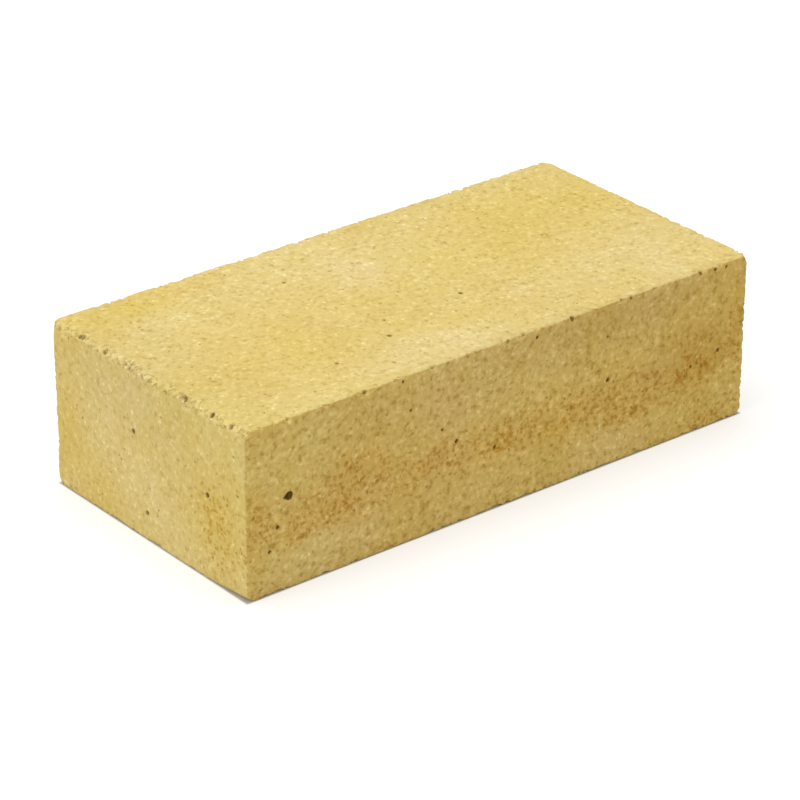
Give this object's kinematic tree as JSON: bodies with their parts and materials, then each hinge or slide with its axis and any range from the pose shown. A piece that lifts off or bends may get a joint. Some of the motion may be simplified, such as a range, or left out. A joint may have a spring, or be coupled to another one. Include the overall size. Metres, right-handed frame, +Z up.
{
  "type": "acid-resistant brick",
  "caption": "Straight solid brick of dense buff fired clay for acid-proof linings and floors, a plain rectangular block with crisp slightly chipped arrises, blunted corners and open pores.",
  "frame": {"origin": "middle of the bed face that the brick lies on, at the bottom centre of its box", "axes": "+X along the brick's length, +Y across its width from the front stretcher to the back one, +Z up through its height"},
  "size_m": [0.23, 0.113, 0.065],
  "materials": {
    "fired_clay": "matt unglazed dense fired clay, buff yellow with fine specks and brown iron stains"
  },
  "bodies": {
    "root": {"brick": "fired_clay"}
  },
  "joints": []
}
